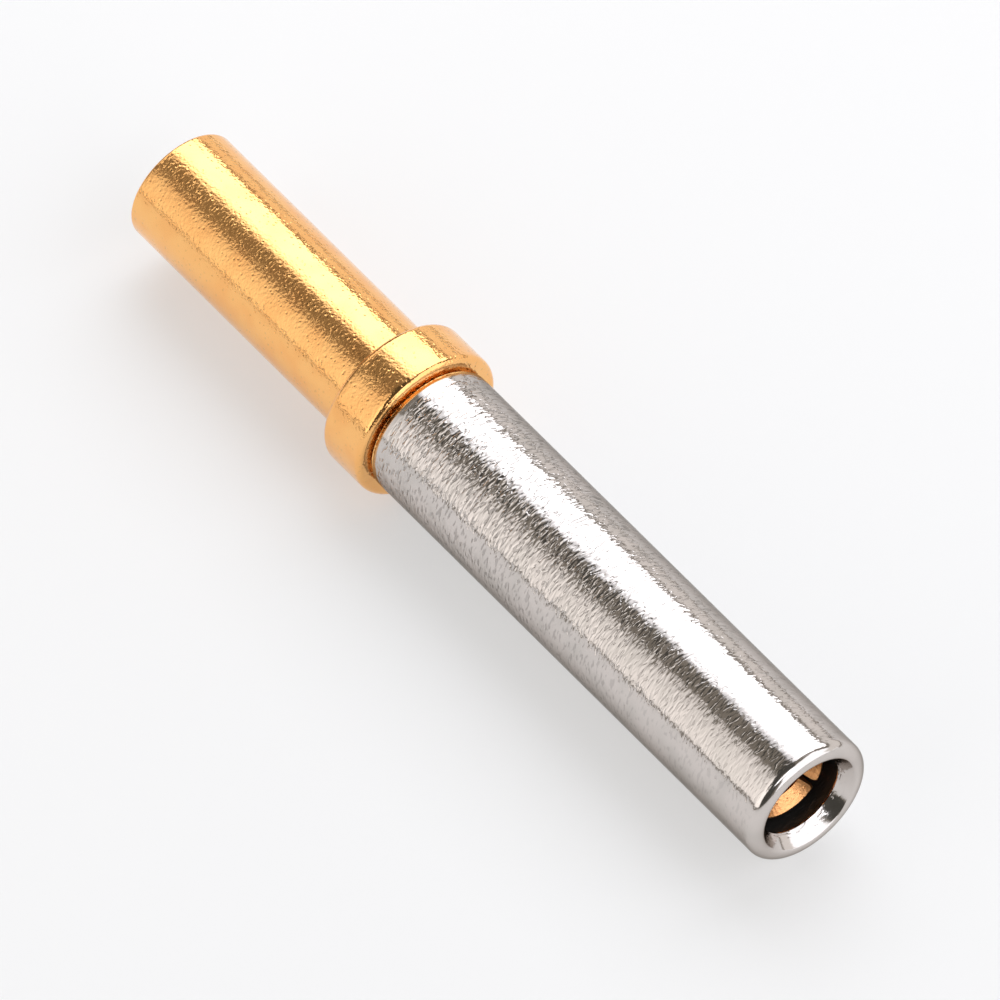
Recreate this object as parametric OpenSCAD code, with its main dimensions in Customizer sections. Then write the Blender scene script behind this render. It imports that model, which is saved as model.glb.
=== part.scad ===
// Crimp socket contact: a turned, gold-plated contact body with a stainless hood
// pushed over its slotted socket. It lies on its collar along X, with the mating
// mouth towards +X. Lengths are in millimetres.

/* [Wire barrel] */
// Diameter of the bore that takes the stripped wire
wire_bore_d = 1.70; // [1.3:0.02:2.2]
// Wall of the crimp barrel
barrel_wall = 0.46; // [0.3:0.02:0.7]
// Length of the barrel behind the collar
barrel_len = 6.88; // [5.5:0.02:9]
// Depth of the wire bore at its full diameter
wire_depth = 6.30; // [4:0.05:8]
// Rounding of the barrel's rear edges, outside and inside
barrel_round = 0.07; // [0.02:0.01:0.14]

/* [Collar] */
// How far the collar stands out past the hood, all round
collar_step = 0.28; // [0.1:0.02:0.6]
// Length of the collar along the axis
collar_len = 1.20; // [0.6:0.02:2]
// Rounding of the collar's two outer edges
collar_round = 0.14; // [0.02:0.01:0.2]
// Length of the bare neck between the collar and the hood
neck_len = 0.08; // [0.05:0.01:0.4]
// How far the neck lies below the outside of the hood, at the collar
neck_inset = 0.07; // [0.04:0.01:0.12]
// How much further in the neck runs on its way to the hood
neck_taper = 0.08; // [0.01:0.01:0.1]

/* [Socket] */
// Diameter of the mating pin
pin_d = 1.588; // [1.3:0.002:1.9]
// Radial room round the pin at the root of the tines
root_room = 0.016; // [0.005:0.001:0.05]
// How far each tine is closed in at its tip to grip the pin
tine_pinch = 0.129; // [0.02:0.001:0.15]
// Wall of the tines
tine_wall = 0.24; // [0.15:0.01:0.3]
// Depth of the socket bore from the tips of the tines
socket_depth = 8.0; // [7:0.1:9]
// Length of the straight land that grips the pin
grip_len = 1.2; // [0.6:0.05:2]
// Axial length of the lead-in at the tips of the tines
tip_lead_len = 0.27; // [0.05:0.01:0.4]
// Rounding of the outer edge at the tips of the tines
tip_round = 0.05; // [0.01:0.01:0.08]
// Width of the flat ring that is left between that rounding and the lead-in
tip_flat = 0.01; // [0.005:0.005:0.04]
// Length of the saw slot that parts the two tines
slot_len = 6.5; // [5:0.1:7]
// Width of the slot where it ends
slot_root_w = 0.25; // [0.15:0.01:0.4]
// Width of the slot between the closed tips
slot_tip_w = 0.13; // [0.06:0.01:0.3]
// Rounding of the tine corners beside the slot
slot_round = 0.08; // [0.02:0.01:0.15]
// Turn of the contact about its axis as it lies, which sets the slot, in degrees
lie_turn = 51; // [0:1:180]

/* [Hood] */
// Room for each tine to spread inside the hood
spread_gap = 0.175; // [0.1:0.005:0.4]
// Wall of the hood
hood_wall = 0.275; // [0.2:0.005:0.5]
// Length of the hood
hood_len = 12.25; // [11:0.05:16]
// Length over which the hood grips its seat on the body
seat_len = 2.6; // [1.5:0.1:3.2]
// Radial clearance between the seat and the hood
seat_fit = 0; // [0:0.001:0.01]
// Rounding of the hood's rear outer edge
hood_round = 0.04; // [0.02:0.01:0.15]
// How far the tips of the tines lie behind the front of the hood
tip_recess = 0.70; // [0.6:0.01:1.2]
// Radial room round the pin in the mouth
mouth_room = 0.176; // [0.05:0.002:0.25]
// Radius of the hood's rolled nose
roll_r = 0.25; // [0.2:0.01:0.35]
// Depth of the mouth's funnel behind the front
funnel_depth = 0.33; // [0.25:0.01:0.5]
// Length of the straight land behind the funnel
mouth_land = 0.03; // [0.02:0.01:0.09]
// Rounding between the nose and the funnel
lip_round = 0.12; // [0.02:0.01:0.14]

/* [Hidden] */
$fn = 96;

// Half of the angle of a drill's point
DRILL_HALF = 59;
// Steps in each rounded corner of an outline
ARC_STEPS = 6;
// How far a cutter reaches past the faces that it opens
OVERCUT = 0.5;
// Bevel inside the hood's rear edge, and at the front of its seat
ASSEMBLY_BEVEL = 0.05;

wire_r = wire_bore_d / 2;
barrel_r = wire_r + barrel_wall;

pin_r = pin_d / 2;
socket_r = pin_r + root_room;
grip_r = pin_r - tine_pinch;
tine_r = socket_r + tine_wall;
tip_r = grip_r + tine_wall;

hood_in_r = tine_r + spread_gap;
hood_r = hood_in_r + hood_wall;
seat_r = hood_in_r - seat_fit;
neck_r = hood_r - neck_inset;
collar_r = hood_r + collar_step;

mouth_r = pin_r + mouth_room;
lip_r = hood_r - roll_r;
lip_len = funnel_depth + mouth_land;

// Stations along the axis from the rear end
collar_front = barrel_len + collar_len;
hood_rear = collar_front + neck_len;
seat_front = hood_rear + seat_len;
total_len = hood_rear + hood_len;
tip_front = total_len - tip_recess;
slot_root = tip_front - slot_len;
grip_rear = tip_front - grip_len;
socket_floor = tip_front - socket_depth;

// Lean of the funnel's wall from the axis, from its rounded edge to the land
funnel_lean = atan2(lip_r - mouth_r, funnel_depth);

// Points of an arc about (x, y), from angle a to angle b
function arc(x, y, r, a, b) =
    [for (i = [0 : ARC_STEPS]) let (t = a + (b - a) * i / ARC_STEPS) [x + r * cos(t), y + r * sin(t)]];

// Length of a drill's point behind a bore
function drill_point(r) = r / tan(DRILL_HALF);

// Half section of the contact body: radius across, length along the axis up
module body_section() {
    wire_bore = [[0, wire_depth + drill_point(wire_r)], [wire_r, wire_depth]];
    rear_edge = concat(
        arc(wire_r + barrel_round, barrel_round, barrel_round, 180, 270),
        arc(barrel_r - barrel_round, barrel_round, barrel_round, 270, 360));
    collar = concat(
        [[barrel_r, barrel_len]],
        arc(collar_r - collar_round, barrel_len + collar_round, collar_round, 270, 360),
        arc(collar_r - collar_round, collar_front - collar_round, collar_round, 0, 90));
    seat = [
        [neck_r, collar_front],
        [neck_r - neck_taper, hood_rear],
        [seat_r, hood_rear],
        [seat_r, seat_front - ASSEMBLY_BEVEL],
        [seat_r - ASSEMBLY_BEVEL, seat_front],
        [tine_r, seat_front]];
    tine_outside = concat(
        [[tine_r, slot_root], [tip_r, grip_rear]],
        arc(tip_r - tip_round, tip_front - tip_round, tip_round, 0, 90));
    socket_bore = [
        [tip_r - tip_round - tip_flat, tip_front],
        [grip_r, tip_front - tip_lead_len],
        [grip_r, grip_rear],
        [socket_r, slot_root],
        [socket_r, socket_floor],
        [0, socket_floor - drill_point(socket_r)]];
    polygon(concat(wire_bore, rear_edge, collar, seat, tine_outside, socket_bore));
}

// Half section of the hood: radius across, length along the axis up
module hood_section() {
    rear_end = concat(
        [[hood_in_r, hood_rear + ASSEMBLY_BEVEL], [hood_in_r + ASSEMBLY_BEVEL, hood_rear]],
        arc(hood_r - hood_round, hood_rear + hood_round, hood_round, 270, 360));
    nose = arc(lip_r, total_len - roll_r, roll_r, 0, 90);
    lip = arc(lip_r, total_len - lip_round, lip_round, 90, 180 - funnel_lean);
    mouth = [
        [mouth_r, total_len - funnel_depth],
        [mouth_r, total_len - lip_len],
        [hood_in_r, total_len - lip_len]];
    polygon(concat(rear_end, nose, lip, mouth));
}

// The slot's own outline, across and along the axis, with rounded tine corners
module slot_outline() {
    half_tip = slot_tip_w / 2;
    corner_y = tip_front - slot_round;
    right = arc(half_tip + slot_round, corner_y, slot_round, 180, 90);
    left = arc(-half_tip - slot_round, corner_y, slot_round, 90, 0);
    top = [
        [half_tip + slot_round, tip_front + OVERCUT],
        [-half_tip - slot_round, tip_front + OVERCUT]];
    root = [[-slot_root_w / 2, slot_root], [slot_root_w / 2, slot_root]];
    polygon(concat(root, right, top, left));
}

module slot_cutter() {
    cut_width = 2 * (tine_r + OVERCUT);
    translate([-cut_width / 2, 0, 0])
        rotate([90, 0, 90])
            linear_extrude(cut_width) slot_outline();
}

// Lays a part built up the Z axis along +X, with its middle over the origin
module laid_down() {
    translate([-total_len / 2, 0, collar_r])
        rotate([0, 90, 0])
            rotate([0, 0, lie_turn])
                children();
}

module contact_body() {
    color("#e0a850")
        laid_down()
            difference() {
                rotate_extrude() body_section();
                slot_cutter();
            }
}

module hood() {
    color("#b8b0aa")
        laid_down()
            rotate_extrude() hood_section();
}

contact_body();
hood();
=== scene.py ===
"""Looks of a crimp socket contact: a turned, gold-plated body and its stainless hood, in a small studio."""
import math

import bpy
from bpy.props import FloatProperty, FloatVectorProperty, PointerProperty
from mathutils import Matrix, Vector


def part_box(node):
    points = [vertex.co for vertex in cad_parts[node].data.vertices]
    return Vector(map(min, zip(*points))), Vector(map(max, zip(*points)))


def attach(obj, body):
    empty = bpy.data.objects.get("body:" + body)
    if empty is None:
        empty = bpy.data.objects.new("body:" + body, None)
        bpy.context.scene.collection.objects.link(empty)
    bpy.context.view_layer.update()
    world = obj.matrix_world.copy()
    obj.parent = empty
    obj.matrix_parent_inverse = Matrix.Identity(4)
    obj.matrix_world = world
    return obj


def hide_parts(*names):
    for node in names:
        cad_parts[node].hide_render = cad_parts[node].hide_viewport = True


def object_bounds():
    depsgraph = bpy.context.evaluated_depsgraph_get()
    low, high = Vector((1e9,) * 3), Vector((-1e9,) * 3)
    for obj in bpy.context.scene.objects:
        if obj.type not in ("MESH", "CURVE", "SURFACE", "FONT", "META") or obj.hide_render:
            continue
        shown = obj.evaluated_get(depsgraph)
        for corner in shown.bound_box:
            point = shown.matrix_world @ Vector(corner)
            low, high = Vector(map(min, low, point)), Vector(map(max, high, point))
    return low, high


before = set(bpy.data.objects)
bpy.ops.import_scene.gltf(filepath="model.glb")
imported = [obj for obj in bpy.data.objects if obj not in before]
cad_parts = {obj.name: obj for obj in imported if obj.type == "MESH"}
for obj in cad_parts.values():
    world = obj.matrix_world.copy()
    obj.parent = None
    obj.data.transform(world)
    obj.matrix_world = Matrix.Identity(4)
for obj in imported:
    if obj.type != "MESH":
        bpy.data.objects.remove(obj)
CAD_LOW, CAD_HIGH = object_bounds()
BODY_LOW, BODY_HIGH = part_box("contact_body")
HOOD_LOW, HOOD_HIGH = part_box("hood")

bl_info = {
    "name": "Crimp Socket Contact",
    "version": (1, 0, 0),
    "blender": (4, 5, 0),
    "location": "View3D > Sidebar > Contact",
    "description": "Builds a hooded crimp socket contact and the studio it lies in",
    "category": "Mesh",
}

MM = 0.001
MICRON = 0.000001
AXIS_HEIGHT = (BODY_LOW.z + BODY_HIGH.z) / 2
REAR_X = CAD_LOW.x
TOTAL_LENGTH = CAD_HIGH.x - CAD_LOW.x
AXIAL = Vector((1, 0, 0))

# Fineness of the turned meshes
SPIN_STEPS = 256
ROUND_STEPS = 10
NOSE_STEPS = 16
LIP_STEPS = 8
BARREL_RINGS = 48
COLLAR_RINGS = 8
HOOD_RINGS = 90
PLACE_TOLERANCE = 0.0005 * MM
SMOOTH_ANGLE = math.radians(20)
DRILL_HALF_ANGLE = math.radians(59)

# Fineness of the surfaces' grain, in cells per metre, with the axis first where cells are stretched
GOLD_WAVES = 1700.0
GOLD_MARKS = 700.0
GOLD_PITS = 9000.0
GOLD_GRAIN = (15000, 13000, 13000)
STEEL_WAVES = 1500.0
STEEL_MARKS = 600.0
STEEL_WRINKLES = (15500, 5500, 5500)
STEEL_GROOVES = (17000, 6000, 6000)

# How much of their own colour the pits and the grooves show, and how far the grain varies the roughness
PIT_TINT = 0.2
GROOVE_TINT = 0.34
ROUGHNESS_SPREAD = 0.06

# Where the plate changes to that of the socket, with its rougher finish and painted redder shade, and how strong its
# grain is there
SOCKET_START, SOCKET_FULL = HOOD_LOW.x, HOOD_LOW.x + MM
SOCKET_GRAIN = 1.2

# Share of the hood's wrinkles that is left towards the mouth, and the dullness of its inside
MOUTH_WRINKLES = 0.35
HOOD_INSIDE_DULLNESS = 0.4

# Corners of the studio's cards, in millimetres from the point under the contact's middle
SOFTBOX_CORNERS = [(-240, 0, 150), (-240, 243, 150), (25, 243, 150), (5, 0, 150)]
STRIP_CORNERS = [(104, -6, 150), (140, -6, 150), (150, -74, 150), (180, -132, 150), (146, -146, 150),
                 (112, -74, 150)]
FRONT_CORNERS = [(200, -60, 8), (200, 420, 8), (200, 420, 560), (200, 200, 480), (200, 60, 330), (200, -12, 290),
                 (200, -85, 150), (200, -60, 100)]
FILL_CORNERS = [(-240, -150, 6), (-84, -150, 6), (-80, -150, 14), (68, -150, 14), (50, -150, 100), (2, -150, 160),
                (-72, -150, 266), (-172, -150, 266), (-129, -150, 172), (-240, -150, 172)]
BACK_CORNERS = [(-330, 200, 14), (200, 200, 14), (200, 200, 90), (-330, 200, 90)]
BRIDGE_CORNERS = [(-108, 0, 150), (-226, -150, 268), (-420, -150, 268), (-300, 0, 150)]
TOP_FLAG_CORNERS = [(-66, 0, 151), (110, 0, 151), (110, -152, 280), (-134, -152, 280)]
SIDE_FLAG_CORNERS = [(-105, -152, 280), (300, -152, 280), (300, -152, 10), (-105, -152, 10)]
FILL_REAR, FILL_FRONT = -180, -10
FLOOR_SIZE = 1.0


def length(name, description, default):
    """A length property in metres."""
    return FloatProperty(name=name, description=description, default=default, min=0, precision=6, unit="LENGTH")


def amount(name, description, default, high=1.0):
    """A plain number property."""
    return FloatProperty(name=name, description=description, default=default, min=0, max=high, precision=3)


def turn(name, description, degrees):
    """An angle property, given in degrees."""
    return FloatProperty(name=name, description=description, default=math.radians(degrees), unit="ROTATION")


def colour(name, description, default):
    """A linear colour property."""
    return FloatVectorProperty(name=name, description=description, default=default, min=0, max=1, subtype="COLOR")


class ContactBodySizes(bpy.types.PropertyGroup):
    """Sizes of the turned contact body, along its axis from the rear end."""

    wire_radius: length("Wire bore radius", "Radius of the bore for the stripped wire", 0.85 * MM)
    wire_depth: length("Wire bore depth", "Depth of the wire bore at its full radius", 6.30 * MM)
    barrel_radius: length("Barrel radius", "Outer radius of the crimp barrel", 1.31 * MM)
    barrel_length: length("Barrel length", "Length of the barrel behind the collar", 6.88 * MM)
    rear_round: length("Rear rounding", "Rounding of the barrel's rear edges", 0.07 * MM)
    collar_radius: length("Collar radius", "Outer radius of the collar", (BODY_HIGH.y - BODY_LOW.y) / 2)
    collar_length: length("Collar length", "Length of the collar along the axis", 1.20 * MM)
    collar_round: length("Collar rounding", "Rounding of the collar's two outer edges", 0.14 * MM)
    neck_radius: length("Neck radius", "Radius of the neck beside the collar", 1.43 * MM)
    neck_taper: length("Neck taper", "How much the neck runs in on its way to the hood", 0.08 * MM)
    seat_radius: length("Seat radius", "Radius of the seat that the hood is pushed on", 1.225 * MM)
    seat_length: length("Seat length", "Length of the hood's seat", 2.6 * MM)
    seat_bevel: length("Seat bevel", "Bevel at the front of the seat", 0.05 * MM)
    tine_radius: length("Tine radius", "Outer radius of the tines at their root", 1.05 * MM)
    tip_radius: length("Tip radius", "Outer radius of the closed tips of the tines", 0.905 * MM)
    tip_round: length("Tip rounding", "Rounding of the outer edge at the tips", 0.05 * MM)
    tip_lead: length("Tip lead-in", "Radial width of the lead-in at the tips", 0.18 * MM)
    tip_lead_length: length("Tip lead-in length", "Axial length of the lead-in at the tips", 0.27 * MM)
    grip_radius: length("Grip radius", "Radius of the land that grips the pin", 0.665 * MM)
    grip_length: length("Grip length", "Length of the straight tips", 1.2 * MM)
    socket_radius: length("Socket radius", "Radius of the socket bore at the root of the tines", 0.81 * MM)
    socket_depth: length("Socket depth", "Depth of the socket bore from the tips", 8.0 * MM)
    slot_length: length("Slot length", "Length of the slot between the tines", 6.5 * MM)
    slot_root_width: length("Slot root width", "Width of the slot where it ends", 0.25 * MM)
    slot_tip_width: length("Slot tip width", "Width of the slot between the tips", 0.13 * MM)
    slot_round: length("Slot rounding", "Rounding of the tine corners beside the slot", 0.08 * MM)
    slot_turn: turn("Slot turn", "Turn of the slot about the axis", 51)


class HoodSizes(bpy.types.PropertyGroup):
    """Sizes of the stainless hood."""

    outer_radius: length("Outer radius", "Outer radius of the hood", (HOOD_HIGH.y - HOOD_LOW.y) / 2)
    inner_radius: length("Inner radius", "Inner radius of the hood", 1.225 * MM)
    rear_round: length("Rear rounding", "Rounding of the hood's rear outer edge", 0.04 * MM)
    inner_bevel: length("Inner bevel", "Bevel inside the hood's rear edge", 0.05 * MM)
    roll_radius: length("Nose roll", "Radius of the rolled nose", 0.25 * MM)
    lip_round: length("Lip rounding", "Rounding between the nose and the funnel", 0.12 * MM)
    funnel_depth: length("Funnel depth", "Depth of the mouth's funnel behind the front", 0.33 * MM)
    mouth_radius: length("Mouth radius", "Radius of the mouth's narrowest ring", 0.97 * MM)
    mouth_land: length("Mouth land", "Length of the straight ring in the mouth", 0.03 * MM)


class ContactFinishes(bpy.types.PropertyGroup):
    """Colours and surface grain of the two metals. Heights of the grain are in micrometres."""

    gold: colour("Gold", "Colour of the gold plate", (0.97, 0.525, 0.19))
    gold_worn: colour("Worn gold", "Colour where the plate is thinner and rubbed", (0.94, 0.475, 0.165))
    # Painted shade: a redder copy of the gold that stands in for the shaded, inter-reflecting socket inside the hood
    gold_socket_painted_shade: colour("Socket gold", "Colour of the plate inside the socket", (0.97, 0.48, 0.195))
    gold_pit: colour("Gold pits", "Colour in the plate's pits", (0.40, 0.19, 0.05))
    gold_roughness: amount("Gold roughness", "Roughness of the gold plate", 0.13)
    bore_roughness: amount("Bore roughness", "Roughness of the plate inside the socket", 0.34)
    gold_waves: amount("Gold waves", "Height of the plate's slow waves, in micrometres", 3.0, 50.0)
    gold_grain: amount("Gold grain", "Height of the plate's fine grain, in micrometres", 6.5, 50.0)
    steel: colour("Steel", "Colour of the stainless hood", (0.64, 0.59, 0.56))
    steel_stain: colour("Stained steel", "Colour of the hood's faint darker patches", (0.58, 0.54, 0.51))
    # This dark colour fills the drawing marks and also paints the shade on the hood's inner wall behind the lip
    steel_groove_and_inner_shade: colour("Steel grooves", "Colour in the hood's drawing marks", (0.12, 0.115, 0.11))
    steel_edge: colour("Steel edge", "Tint of the steel where it is seen along its surface", (0.45, 0.43, 0.41))
    steel_roughness: amount("Steel roughness", "Roughness of the hood", 0.12)
    steel_waves: amount("Steel waves", "Height of the hood's slow waves, in micrometres", 2.0, 50.0)
    steel_wrinkles: amount("Steel wrinkles", "Height of the wrinkles across the hood, in micrometres", 16.0, 50.0)
    groove_depth: amount("Groove depth", "Depth of the hood's drawing marks, in micrometres", 6.0, 50.0)
    pit_depth: amount("Pit depth", "Depth of the plate's pits, in micrometres", 4.5, 50.0)
    mark_depth: amount("Mark depth", "Depth of handling marks, in micrometres", 1.5, 50.0)


class StudioSettings(bpy.types.PropertyGroup):
    """Floor, light and camera."""

    floor: colour("Floor", "Colour of the floor", (0.82, 0.815, 0.81))
    room: colour("Room", "Colour of the dim room all round", (0.26, 0.235, 0.20))
    floor_lift: amount("Floor lift", "Share of plain white in the floor as it is seen and mirrored", 0.45)
    fill: colour("Fill panel", "Colour of the fill panel at the left", (1.0, 0.97, 0.94))
    fill_dim: amount("Fill, dim end", "Brightness of the fill panel at its rear end", 0.52, 20.0)
    fill_bright: amount("Fill, bright end", "Brightness of the fill panel at its front end", 1.7, 20.0)
    back: colour("Back wall", "Colour of the low wall behind", (1.0, 0.97, 0.95))
    softbox: colour("Softbox light", "Colour of the overhead softbox and of the strip light", (0.93, 0.95, 1.0))
    softbox_strength: amount("Softbox", "Brightness of the overhead softbox", 3.0, 20.0)
    softbox_edge: amount("Softbox edge", "Share of its brightness that is left at its near edge", 0.36)
    softbox_fade: length("Softbox fade", "Width over which it fades to its near edge", 48 * MM)
    strip_strength: amount("Strip light", "Brightness of the narrow light towards the mouth", 3.0, 20.0)
    front_strength: amount("Front panel", "Brightness of the panel in front of the mouth", 1.9, 20.0)
    bridge_strength: amount("Rear card", "Brightness of the card behind, between the softbox and the fill", 1.3, 20.0)
    flag: colour("Flags", "Colour of the dark cards that shade the mouth", (0.08, 0.078, 0.07))
    azimuth: turn("Azimuth", "Direction of the camera round the contact", 51.56)
    elevation: turn("Elevation", "Height of the camera above the horizon", 51.55)
    lens: FloatProperty(name="Lens", description="Focal length", default=1000, min=1, unit="CAMERA")
    frame_width: length("Frame width", "Width of the picture at the contact", 20.14 * MM)
    frame_right: length("Frame right", "How far the picture's middle lies right of the contact's", 0.143 * MM)
    frame_down: length("Frame down", "How far the picture's middle lies below the contact's", 0.157 * MM)


# Drawing and turning

def draw_chain(name, corners):
    """Draws a chain of edges: one point that is extruded from corner to corner."""
    bpy.ops.object.select_all(action="DESELECT")
    bpy.ops.mesh.primitive_plane_add(size=MM)
    piece = bpy.context.object
    piece.name = piece.data.name = name
    bpy.ops.object.mode_set(mode="EDIT")
    bpy.ops.mesh.select_mode(type="VERT")
    bpy.ops.mesh.select_all(action="SELECT")
    bpy.ops.mesh.merge(type="CENTER")
    bpy.ops.transform.translate(value=corners[0])
    for here, there in zip(corners, corners[1:]):
        bpy.ops.mesh.extrude_region_move(TRANSFORM_OT_translate={"value": there - here})
    return piece


def fill_chain():
    """Closes the chain that is being edited and fills it with one face."""
    bpy.ops.mesh.select_all(action="SELECT")
    bpy.ops.mesh.edge_face_add()


def draw_outline(name, points):
    """Draws a half section above the axis, from points along the axis and away from it."""
    return draw_chain(name, [Vector((along, 0, radius)) for along, radius in points])


def select_corners(piece, *places):
    """Selects the outline's points at these places."""
    bpy.ops.mesh.select_all(action="DESELECT")
    bpy.ops.object.mode_set(mode="OBJECT")
    wanted = [Vector((along, 0, radius)) for along, radius in places]
    found = 0
    for point in piece.data.vertices:
        point.select = any((point.co - place).length < PLACE_TOLERANCE for place in wanted)
        found += point.select
    if found != len(wanted):
        raise RuntimeError(f"{piece.name}: {found} of {len(wanted)} corners found")
    bpy.ops.object.mode_set(mode="EDIT")


def round_corner(piece, place, reach):
    """Rounds one corner of the outline, from reach before it to reach after it."""
    select_corners(piece, place)
    bpy.ops.mesh.bevel(offset=reach, offset_type="ABSOLUTE", segments=ROUND_STEPS, affect="VERTICES")


def add_rings(piece, start, end, cuts):
    """Divides a straight run of the outline, so that it turns into rings."""
    select_corners(piece, start, end)
    bpy.ops.mesh.subdivide(number_cuts=cuts)


def turn_on_lathe(piece):
    """Spins the outline round the axis into a closed skin and moves it to the contact's axis."""
    bpy.ops.mesh.select_all(action="SELECT")
    bpy.ops.mesh.spin(steps=SPIN_STEPS, angle=math.tau, center=(0, 0, 0), axis=AXIAL)
    bpy.ops.mesh.select_all(action="SELECT")
    bpy.ops.mesh.remove_doubles(threshold=PLACE_TOLERANCE)
    bpy.ops.mesh.normals_make_consistent(inside=False)
    bpy.ops.transform.translate(value=(REAR_X, 0, AXIS_HEIGHT))
    bpy.ops.object.mode_set(mode="OBJECT")


def make_active(piece):
    """Selects one object by itself."""
    bpy.ops.object.select_all(action="DESELECT")
    piece.select_set(True)
    bpy.context.view_layer.objects.active = piece


def finish_piece(piece, node, material):
    """Smooths a finished piece, gives it its material and puts it in the place of its node."""
    make_active(piece)
    bpy.ops.object.shade_smooth_by_angle(angle=SMOOTH_ANGLE)
    piece.data.materials.append(material)
    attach(piece, "root")
    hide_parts(node)


def arc_points(centre, radius, start, end, steps):
    """Points of an arc in the outline's plane, with angles from the axis in degrees."""
    turns = [math.radians(start + (end - start) * i / steps) for i in range(steps + 1)]
    return [(centre[0] + radius * math.cos(t), centre[1] + radius * math.sin(t)) for t in turns]


def drill_point(radius):
    """Length of the cone that a drill leaves behind a bore."""
    return radius / math.tan(DRILL_HALF_ANGLE)


def cut_slot(piece, sizes, tip):
    """Saws the slot that parts the tines, with rounded tine corners at its mouth."""
    across = Vector((0, math.cos(sizes.slot_turn), math.sin(sizes.slot_turn)))
    through = Vector((0, math.sin(sizes.slot_turn), -math.cos(sizes.slot_turn)))
    reach = sizes.tine_radius * 1.3
    corner = (tip - sizes.slot_round, sizes.slot_tip_width / 2 + sizes.slot_round)
    rounding = arc_points(corner, sizes.slot_round, 270, 360, ROUND_STEPS)
    root = (tip - sizes.slot_length, sizes.slot_root_width / 2)
    side = [root, *rounding, (tip + sizes.slot_round, corner[1])]
    outline = side + [(along, -width) for along, width in reversed(side)]
    base = Vector((REAR_X, 0, AXIS_HEIGHT)) - through * reach

    cutter = draw_chain("slot_saw", [base + AXIAL * along + across * width for along, width in outline])
    fill_chain()
    bpy.ops.mesh.extrude_region_move(TRANSFORM_OT_translate={"value": through * reach * 2})
    bpy.ops.mesh.select_all(action="SELECT")
    bpy.ops.mesh.normals_make_consistent(inside=False)
    bpy.ops.object.mode_set(mode="OBJECT")

    make_active(piece)
    saw = piece.modifiers.new("slot", "BOOLEAN")
    saw.operation = "DIFFERENCE"
    saw.solver = "EXACT"
    saw.object = cutter
    bpy.ops.object.modifier_apply(modifier=saw.name)
    bpy.data.objects.remove(cutter)


# Node trees

def add_node(tree, kind, inputs=None, **settings):
    """Adds a node, sets it up, and feeds its inputs with values or with other nodes' outputs."""
    node = tree.nodes.new(kind)
    for name, value in settings.items():
        setattr(node, name, value)
    for name, value in (inputs or {}).items():
        if isinstance(value, bpy.types.NodeSocket):
            tree.links.new(value, node.inputs[name])
        else:
            node.inputs[name].default_value = value
    return node


def maths(tree, operation, first, second):
    """Adds a Math node of two inputs and returns its result."""
    return add_node(tree, "ShaderNodeMath", {0: first, 1: second}, operation=operation).outputs["Value"]


def stretched_noise(tree, position, scale, detail, distortion=0.0):
    """Adds noise whose cells are 1 / scale metres along each axis, and returns it spread about 0."""
    spread = add_node(tree, "ShaderNodeVectorMath", {0: position, 1: scale}, operation="MULTIPLY")
    inputs = {"Vector": spread.outputs["Vector"], "Scale": 1.0, "Detail": detail, "Distortion": distortion}
    noise = add_node(tree, "ShaderNodeTexNoise", inputs)
    return maths(tree, "SUBTRACT", noise.outputs["Fac"], 0.5)


def ramp(tree, value, low, high, low_result=0.0, high_result=1.0):
    """Adds a smooth step from low to high and returns its result."""
    inputs = {"Value": value, "From Min": low, "From Max": high, "To Min": low_result, "To Max": high_result}
    node = add_node(tree, "ShaderNodeMapRange", inputs, interpolation_type="SMOOTHSTEP")
    return node.outputs["Result"]


def mixed_colour(tree, share, first, second):
    """Adds a mix of two colours, or of a node's colour and another, and returns its result."""
    first = first if isinstance(first, bpy.types.NodeSocket) else (*first, 1)
    inputs = {"Fac": share, "Color1": first, "Color2": (*second, 1)}
    return add_node(tree, "ShaderNodeMixRGB", inputs).outputs["Color"]


def bumped_normal(tree, *heights):
    """Adds up heights in micrometres and returns the normal of the surface that they make."""
    total = heights[0]
    for height in heights[1:]:
        total = maths(tree, "ADD", total, height)
    bump = add_node(tree, "ShaderNodeBump", {"Height": total, "Distance": MICRON, "Strength": 1.0})
    return bump.outputs["Normal"]


def new_group(name, inputs, outputs):
    """A shader node group with these sockets, its own input node and its own output node."""
    group = bpy.data.node_groups.new(name, "ShaderNodeTree")
    for title, kind in inputs.items():
        group.interface.new_socket(name=title, in_out="INPUT", socket_type=kind)
    for title in outputs:
        group.interface.new_socket(name=title, in_out="OUTPUT", socket_type="NodeSocketFloat")
    return group, group.nodes.new("NodeGroupInput"), group.nodes.new("NodeGroupOutput")


def slow_waves():
    """Group: the slow waves that drawing and plating leave, as a height and as a mask for stains."""
    name = "slow_waves"
    if name in bpy.data.node_groups:
        return bpy.data.node_groups[name]
    sockets = {"Position": "NodeSocketVector", "Waves per metre": "NodeSocketFloat", "Height": "NodeSocketFloat"}
    group, given, result = new_group(name, sockets, ["Height", "Stain"])
    inputs = {"Vector": given.outputs["Position"], "Scale": given.outputs["Waves per metre"], "Detail": 1.5}
    noise = add_node(group, "ShaderNodeTexNoise", inputs)
    wave = maths(group, "SUBTRACT", noise.outputs["Fac"], 0.5)
    group.links.new(maths(group, "MULTIPLY", wave, given.outputs["Height"]), result.inputs["Height"])
    group.links.new(ramp(group, noise.outputs["Fac"], 0.35, 0.75), result.inputs["Stain"])
    return group


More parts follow.
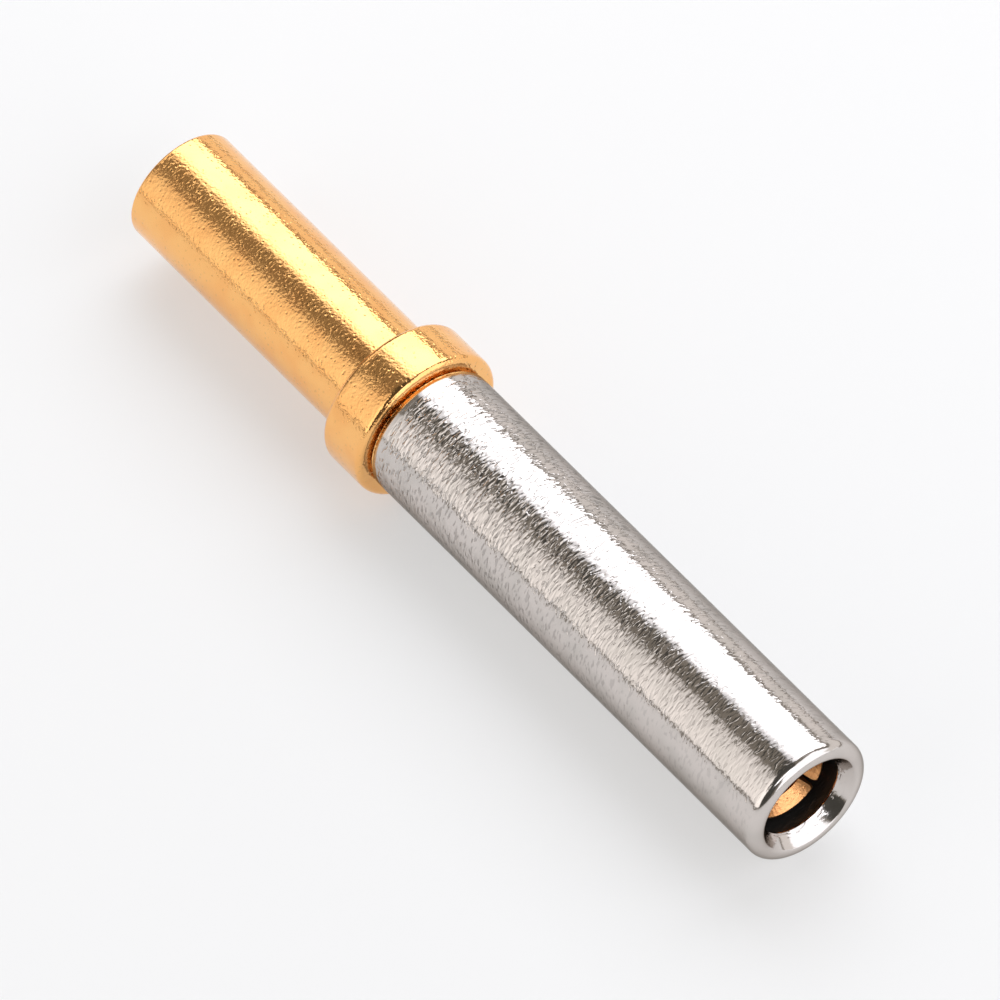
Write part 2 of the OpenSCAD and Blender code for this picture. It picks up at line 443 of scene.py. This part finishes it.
def fine_pits():
    """Group: scattered small round pits, as a height and as a mask."""
    name = "fine_pits"
    if name in bpy.data.node_groups:
        return bpy.data.node_groups[name]
    sockets = {"Position": "NodeSocketVector", "Pits per metre": "NodeSocketFloat", "Depth": "NodeSocketFloat"}
    group, given, result = new_group(name, sockets, ["Height", "Pit"])
    inputs = {"Vector": given.outputs["Position"], "Scale": given.outputs["Pits per metre"]}
    cells = add_node(group, "ShaderNodeTexVoronoi", inputs)
    chance = add_node(group, "ShaderNodeSeparateColor", {"Color": cells.outputs["Color"]}).outputs["Red"]
    pit = maths(group, "MULTIPLY", ramp(group, cells.outputs["Distance"], 0.08, 0.34, 1.0, 0.0),
                ramp(group, chance, 0.25, 0.60))
    height = maths(group, "MULTIPLY", pit, given.outputs["Depth"])
    group.links.new(maths(group, "MULTIPLY", height, -1.0), result.inputs["Height"])
    group.links.new(pit, result.inputs["Pit"])
    return group


def handling_marks():
    """Group: short, thin scratches and nicks from handling, as a height."""
    name = "handling_marks"
    if name in bpy.data.node_groups:
        return bpy.data.node_groups[name]
    sockets = {"Position": "NodeSocketVector", "Marks per metre": "NodeSocketFloat", "Depth": "NodeSocketFloat"}
    group, given, result = new_group(name, sockets, ["Height"])
    inputs = {"Vector": given.outputs["Position"], "Scale": given.outputs["Marks per metre"]}
    cells = add_node(group, "ShaderNodeTexVoronoi", inputs, feature="DISTANCE_TO_EDGE")
    line = ramp(group, cells.outputs["Distance"], 0.0, 0.03, 1.0, 0.0)
    breaks = add_node(group, "ShaderNodeTexNoise", {**inputs, "Detail": 3.0})
    mark = maths(group, "MULTIPLY", line, ramp(group, breaks.outputs["Fac"], 0.56, 0.64))
    height = maths(group, "MULTIPLY", mark, given.outputs["Depth"])
    group.links.new(maths(group, "MULTIPLY", height, -1.0), result.inputs["Height"])
    return group


# Materials

def new_material(name):
    """A node material with an empty tree, its output and a Principled shader."""
    material = bpy.data.materials.new(name)
    material.use_nodes = True
    tree = material.node_tree
    tree.nodes.clear()
    shader = tree.nodes.new("ShaderNodeBsdfPrincipled")
    add_node(tree, "ShaderNodeOutputMaterial", {"Surface": shader.outputs["BSDF"]})
    return material, tree, shader


def gold_plate(finishes):
    """Bright gold plate, finely grained and pitted, duller inside the socket, where a redder colour is painted on as
    shade.
    """
    material, tree, shader = new_material("gold_plate")
    position = add_node(tree, "ShaderNodeTexCoord").outputs["Object"]
    along = add_node(tree, "ShaderNodeSeparateXYZ", {"Vector": position}).outputs["X"]

    inputs = {"Position": position, "Waves per metre": GOLD_WAVES, "Height": finishes.gold_waves}
    waves = add_node(tree, "ShaderNodeGroup", inputs, node_tree=slow_waves())
    inputs = {"Position": position, "Marks per metre": GOLD_MARKS, "Depth": finishes.mark_depth}
    marks = add_node(tree, "ShaderNodeGroup", inputs, node_tree=handling_marks())
    inputs = {"Position": position, "Pits per metre": GOLD_PITS, "Depth": finishes.pit_depth}
    pits = add_node(tree, "ShaderNodeGroup", inputs, node_tree=fine_pits())
    grain = stretched_noise(tree, position, GOLD_GRAIN, 1.0)
    grain_height = maths(tree, "MULTIPLY", grain, finishes.gold_grain)

    tint = mixed_colour(tree, waves.outputs["Stain"], finishes.gold, finishes.gold_worn)
    # Painted shade: under the hood the gold turns to its redder socket copy
    tint = mixed_colour(tree, ramp(tree, along, SOCKET_START, SOCKET_FULL), tint, finishes.gold_socket_painted_shade)
    tint = mixed_colour(tree, maths(tree, "MULTIPLY", pits.outputs["Pit"], PIT_TINT), tint, finishes.gold_pit)
    inside = ramp(tree, along, SOCKET_START, SOCKET_FULL, finishes.gold_roughness, finishes.bore_roughness)
    roughness = maths(tree, "ADD", inside, maths(tree, "MULTIPLY", grain, ROUGHNESS_SPREAD))
    fine = maths(tree, "ADD", pits.outputs["Height"], grain_height)
    fine = maths(tree, "MULTIPLY", fine, ramp(tree, along, SOCKET_START, SOCKET_FULL, 1.0, SOCKET_GRAIN))
    normal = bumped_normal(tree, waves.outputs["Height"], marks.outputs["Height"], fine)
    shader.inputs["Metallic"].default_value = 1
    tree.links.new(tint, shader.inputs["Base Color"])
    tree.links.new(roughness, shader.inputs["Roughness"])
    tree.links.new(normal, shader.inputs["Normal"])
    return material


def stainless(finishes):
    """Bright stainless steel with wrinkles and drawing marks across its length, which thin out at both ends, and a
    painted dark shade on its inner wall behind the lip.
    """
    material, tree, shader = new_material("stainless")
    position = add_node(tree, "ShaderNodeTexCoord").outputs["Object"]
    along = add_node(tree, "ShaderNodeSeparateXYZ", {"Vector": position}).outputs["X"]

    inputs = {"Position": position, "Waves per metre": STEEL_WAVES, "Height": finishes.steel_waves}
    waves = add_node(tree, "ShaderNodeGroup", inputs, node_tree=slow_waves())
    inputs = {"Position": position, "Marks per metre": STEEL_MARKS, "Depth": finishes.mark_depth}
    marks = add_node(tree, "ShaderNodeGroup", inputs, node_tree=handling_marks())
    from_rear = ramp(tree, along, HOOD_LOW.x + 0.05 * MM, HOOD_LOW.x + 0.3 * MM)
    thinning = ramp(tree, along, HOOD_LOW.x + 2 * MM, HOOD_HIGH.x - 0.6 * MM, 1.0, MOUTH_WRINKLES)
    to_mouth = ramp(tree, along, HOOD_HIGH.x - 0.3 * MM, HOOD_HIGH.x - 0.06 * MM, 1.0, 0.0)
    reach = maths(tree, "MULTIPLY", from_rear, maths(tree, "MULTIPLY", thinning, to_mouth))
    wrinkles = stretched_noise(tree, position, STEEL_WRINKLES, 0.5, 0.3)
    wrinkle_height = maths(tree, "MULTIPLY", maths(tree, "MULTIPLY", wrinkles, reach), finishes.steel_wrinkles)
    cuts = stretched_noise(tree, position, STEEL_GROOVES, 0.5, 0.3)
    groove = maths(tree, "MULTIPLY", ramp(tree, cuts, 0.05, 0.18), reach)
    groove_height = maths(tree, "MULTIPLY", groove, -finishes.groove_depth)

    tint = mixed_colour(tree, waves.outputs["Stain"], finishes.steel, finishes.steel_stain)
    tint = mixed_colour(tree, maths(tree, "MULTIPLY", groove, GROOVE_TINT), tint, finishes.steel_groove_and_inner_shade)
    # Painted shade: the hood's inner wall behind the lip gets the dark groove colour, standing in for the shade deep
    # in the hood; it is also made rougher
    away = add_node(tree, "ShaderNodeVectorMath", {0: position, 1: (0, 0, -AXIS_HEIGHT)}, operation="ADD")
    across = add_node(tree, "ShaderNodeVectorMath", {0: away.outputs["Vector"], 1: (0, 1, 1)}, operation="MULTIPLY")
    radius = add_node(tree, "ShaderNodeVectorMath", {0: across.outputs["Vector"]}, operation="LENGTH").outputs["Value"]
    behind_lip = ramp(tree, along, HOOD_HIGH.x - 0.39 * MM, HOOD_HIGH.x - 0.36 * MM, 1.0, 0.0)
    inside = maths(tree, "MULTIPLY", ramp(tree, radius, 1.25 * MM, 1.30 * MM, 1.0, 0.0), behind_lip)
    tint = mixed_colour(tree, inside, tint, finishes.steel_groove_and_inner_shade)
    polish = maths(tree, "ADD", maths(tree, "MULTIPLY", inside, HOOD_INSIDE_DULLNESS), finishes.steel_roughness)
    roughness = maths(tree, "ADD", maths(tree, "MULTIPLY", wrinkles, ROUGHNESS_SPREAD), polish)
    normal = bumped_normal(tree, waves.outputs["Height"], marks.outputs["Height"], wrinkle_height, groove_height)
    shader.inputs["Metallic"].default_value = 1
    shader.inputs["Specular Tint"].default_value = (*finishes.steel_edge, 1)
    tree.links.new(tint, shader.inputs["Base Color"])
    tree.links.new(roughness, shader.inputs["Roughness"])
    tree.links.new(normal, shader.inputs["Normal"])
    return material


# Steps

class ContactBodyOperator(bpy.types.Operator):
    """Turn the contact body, saw its slot and plate it with gold"""

    bl_idname = "contact.body"
    bl_label = "Contact Body"

    def execute(self, context):
        s = context.scene.contact_body_sizes
        collar_front = s.barrel_length + s.collar_length
        hood_rear = HOOD_LOW.x - REAR_X
        seat_front = hood_rear + s.seat_length
        tip = BODY_HIGH.x - REAR_X
        slot_root = tip - s.slot_length
        grip_rear = tip - s.grip_length
        socket_floor = tip - s.socket_depth

        rear_inner, rear_outer = (0, s.wire_radius), (0, s.barrel_radius)
        shoulder = (s.barrel_length, s.barrel_radius)
        collar_rear_edge = (s.barrel_length, s.collar_radius)
        collar_front_edge = (collar_front, s.collar_radius)
        tip_outer = (tip, s.tip_radius)
        outline = [
            (s.wire_depth + drill_point(s.wire_radius), 0),
            (s.wire_depth, s.wire_radius),
            rear_inner,
            rear_outer,
            shoulder,
            collar_rear_edge,
            collar_front_edge,
            (collar_front, s.neck_radius),
            (hood_rear, s.neck_radius - s.neck_taper),
            (hood_rear, s.seat_radius),
            (seat_front - s.seat_bevel, s.seat_radius),
            (seat_front, s.seat_radius - s.seat_bevel),
            (seat_front, s.tine_radius),
            (slot_root, s.tine_radius),
            (grip_rear, s.tip_radius),
            tip_outer,
            (tip, s.grip_radius + s.tip_lead),
            (tip - s.tip_lead_length, s.grip_radius),
            (grip_rear, s.grip_radius),
            (slot_root, s.socket_radius),
            (socket_floor, s.socket_radius),
            (socket_floor - drill_point(s.socket_radius), 0),
        ]
        piece = draw_outline("contact_body_gold", outline)
        round_corner(piece, tip_outer, s.tip_round)
        round_corner(piece, rear_inner, s.rear_round)
        round_corner(piece, rear_outer, s.rear_round)
        round_corner(piece, collar_rear_edge, s.collar_round)
        round_corner(piece, collar_front_edge, s.collar_round)
        add_rings(piece, (s.rear_round, s.barrel_radius), shoulder, BARREL_RINGS)
        add_rings(piece, (s.barrel_length + s.collar_round, s.collar_radius),
                  (collar_front - s.collar_round, s.collar_radius), COLLAR_RINGS)
        turn_on_lathe(piece)
        cut_slot(piece, s, tip)
        finish_piece(piece, "contact_body", gold_plate(context.scene.contact_finishes))
        return {"FINISHED"}


class HoodOperator(bpy.types.Operator):
    """Turn the stainless hood with its rolled nose and funnel mouth"""

    bl_idname = "contact.hood"
    bl_label = "Hood"

    def execute(self, context):
        s = context.scene.hood_sizes
        rear = HOOD_LOW.x - REAR_X
        front = HOOD_HIGH.x - REAR_X
        lip_radius = s.outer_radius - s.roll_radius
        lip_rear = front - s.funnel_depth - s.mouth_land
        lean = math.degrees(math.atan2(lip_radius - s.mouth_radius, s.funnel_depth))

        rear_inner = (rear + s.inner_bevel, s.inner_radius)
        rear_edge = (rear, s.outer_radius)
        nose = arc_points((front - s.roll_radius, lip_radius), s.roll_radius, 90, 0, NOSE_STEPS)
        lip = arc_points((front - s.lip_round, lip_radius), s.lip_round, 0, lean - 90, LIP_STEPS)
        outline = [
            rear_inner,
            (rear, s.inner_radius + s.inner_bevel),
            rear_edge,
            *nose,
            *lip[1:],
            (front - s.funnel_depth, s.mouth_radius),
            (lip_rear, s.mouth_radius),
            (lip_rear, s.inner_radius),
            rear_inner,
        ]
        piece = draw_outline("hood_steel", outline)
        round_corner(piece, rear_edge, s.rear_round)
        add_rings(piece, (rear + s.rear_round, s.outer_radius), nose[0], HOOD_RINGS)
        turn_on_lathe(piece)
        finish_piece(piece, "hood", stainless(context.scene.contact_finishes))
        return {"FINISHED"}


def glow_material(name, tint, strength=1.0):
    """A plain light-emitting material, its tree and its shader."""
    material = bpy.data.materials.new(name)
    material.use_nodes = True
    tree = material.node_tree
    tree.nodes.clear()
    glow = add_node(tree, "ShaderNodeEmission", {"Color": (*tint, 1), "Strength": strength})
    add_node(tree, "ShaderNodeOutputMaterial", {"Surface": glow.outputs["Emission"]})
    return material, tree, glow


def light_card(name, corners, material):
    """A flat card that lights the contact and isn't seen by the camera."""
    card = draw_chain(name, [Vector(corner) * MM for corner in corners])
    fill_chain()
    bpy.ops.object.mode_set(mode="OBJECT")
    card.data.materials.append(material)
    card.visible_camera = False


def softbox_material(settings):
    """White light that fades towards the softbox's near edge, from its first corner to its last."""
    material, tree, glow = glow_material("softbox", settings.softbox)
    start, end = Vector(SOFTBOX_CORNERS[0]) * MM, Vector(SOFTBOX_CORNERS[-1]) * MM
    inwards = Vector((0, 0, 1)).cross(end - start).normalized()
    position = add_node(tree, "ShaderNodeTexCoord").outputs["Object"]
    distance = add_node(tree, "ShaderNodeVectorMath", {0: position, 1: inwards}, operation="DOT_PRODUCT")
    edge = start.dot(inwards)
    full = settings.softbox_strength
    fade = ramp(tree, distance.outputs["Value"], edge, edge + settings.softbox_fade,
                full * settings.softbox_edge, full)
    tree.links.new(fade, glow.inputs["Strength"])
    return material


def fill_material(settings):
    """Light that brightens along the fill panel, from its rear end to its front."""
    material, tree, glow = glow_material("fill_panel", settings.fill)
    position = add_node(tree, "ShaderNodeTexCoord").outputs["Object"]
    along = add_node(tree, "ShaderNodeSeparateXYZ", {"Vector": position}).outputs["X"]
    inputs = {"Value": along, "From Min": FILL_REAR * MM, "From Max": FILL_FRONT * MM,
              "To Min": settings.fill_dim, "To Max": settings.fill_bright}
    grade = add_node(tree, "ShaderNodeMapRange", inputs)
    tree.links.new(grade.outputs["Result"], glow.inputs["Strength"])
    return material


class StudioOperator(bpy.types.Operator):
    """Lay the floor, set the lights and place the camera"""

    bl_idname = "contact.studio"
    bl_label = "Studio"

    def execute(self, context):
        s = context.scene.studio_settings
        scene = context.scene
        scene.view_settings.view_transform = "Standard"

        world = bpy.data.worlds.new("dim_room")
        scene.world = world
        world.use_nodes = True
        world.node_tree.nodes["Background"].inputs["Color"].default_value = (*s.room, 1)

        bpy.ops.object.select_all(action="DESELECT")
        bpy.ops.mesh.primitive_plane_add(size=FLOOR_SIZE)
        floor = context.object
        floor.name = floor.data.name = "floor"
        material, tree, shader = new_material("floor_paper")
        shader.inputs["Base Color"].default_value = (*s.floor, 1)
        shader.inputs["Roughness"].default_value = 0.9
        shader.inputs["Specular IOR Level"].default_value = 0
        path = add_node(tree, "ShaderNodeLightPath").outputs
        mirrored = maths(tree, "MAXIMUM", path["Is Glossy Ray"], path["Is Transmission Ray"])
        seen = maths(tree, "MAXIMUM", path["Is Camera Ray"], mirrored)
        white = add_node(tree, "ShaderNodeEmission", {"Color": (1, 1, 1, 1), "Strength": 1.0})
        inputs = {"Fac": maths(tree, "MULTIPLY", seen, s.floor_lift), 1: shader.outputs["BSDF"],
                  2: white.outputs["Emission"]}
        lifted = add_node(tree, "ShaderNodeMixShader", inputs)
        tree.links.new(lifted.outputs["Shader"], tree.nodes["Material Output"].inputs["Surface"])
        floor.data.materials.append(material)

        light_card("softbox", SOFTBOX_CORNERS, softbox_material(s))
        light_card("strip_light", STRIP_CORNERS, glow_material("strip_light", s.softbox, s.strip_strength)[0])
        light_card("front_panel", FRONT_CORNERS, glow_material("front_panel", s.softbox, s.front_strength)[0])
        light_card("fill_panel", FILL_CORNERS, fill_material(s))
        light_card("back_wall", BACK_CORNERS, glow_material("back_wall", s.back)[0])
        light_card("bridge", BRIDGE_CORNERS, glow_material("bridge", s.fill, s.bridge_strength)[0])
        flag = glow_material("flag", s.flag)[0]
        light_card("top_flag", TOP_FLAG_CORNERS, flag)
        light_card("side_flag", SIDE_FLAG_CORNERS, flag)

        flat = math.cos(s.elevation)
        back = Vector((math.sin(s.azimuth) * flat, -math.cos(s.azimuth) * flat, math.sin(s.elevation)))
        right = Vector((math.cos(s.azimuth), math.sin(s.azimuth), 0))
        up = back.cross(right)
        bpy.ops.object.camera_add()
        camera = context.object
        lens = camera.data
        lens.lens = s.lens
        distance = s.frame_width * s.lens / lens.sensor_width
        middle = Vector((REAR_X + TOTAL_LENGTH / 2, 0, AXIS_HEIGHT))
        aim = middle + right * s.frame_right - up * s.frame_down
        camera.location = aim + back * distance
        camera.rotation_euler = (-back).to_track_quat("-Z", "Y").to_euler()
        lens.clip_start = distance / 100
        lens.clip_end = distance * 20
        scene.camera = camera
        return {"FINISHED"}


class ContactPanel(bpy.types.Panel):
    """Lists the steps that build the contact"""

    bl_idname = "CONTACT_PT_steps"
    bl_label = "Crimp Socket Contact"
    bl_space_type = "VIEW_3D"
    bl_region_type = "UI"
    bl_category = "Contact"

    def draw(self, context):
        for step in STEPS:
            self.layout.operator(step.bl_idname)


STEPS = (ContactBodyOperator, HoodOperator, StudioOperator)
SETTINGS = {
    "contact_body_sizes": ContactBodySizes,
    "hood_sizes": HoodSizes,
    "contact_finishes": ContactFinishes,
    "studio_settings": StudioSettings,
}


def register():
    """Registers the settings, the steps and the panel."""
    for name, group in SETTINGS.items():
        bpy.utils.register_class(group)
        setattr(bpy.types.Scene, name, PointerProperty(type=group))
    for step in STEPS:
        bpy.utils.register_class(step)
    bpy.utils.register_class(ContactPanel)


def unregister():
    """Takes away what register added."""
    bpy.utils.unregister_class(ContactPanel)
    for step in reversed(STEPS):
        bpy.utils.unregister_class(step)
    for name, group in reversed(SETTINGS.items()):
        delattr(bpy.types.Scene, name)
        bpy.utils.unregister_class(group)


def main():
    """Builds the contact and its studio."""
    register()
    bpy.ops.contact.body()
    bpy.ops.contact.hood()
    bpy.ops.contact.studio()


if __name__ == "__main__":
    main()
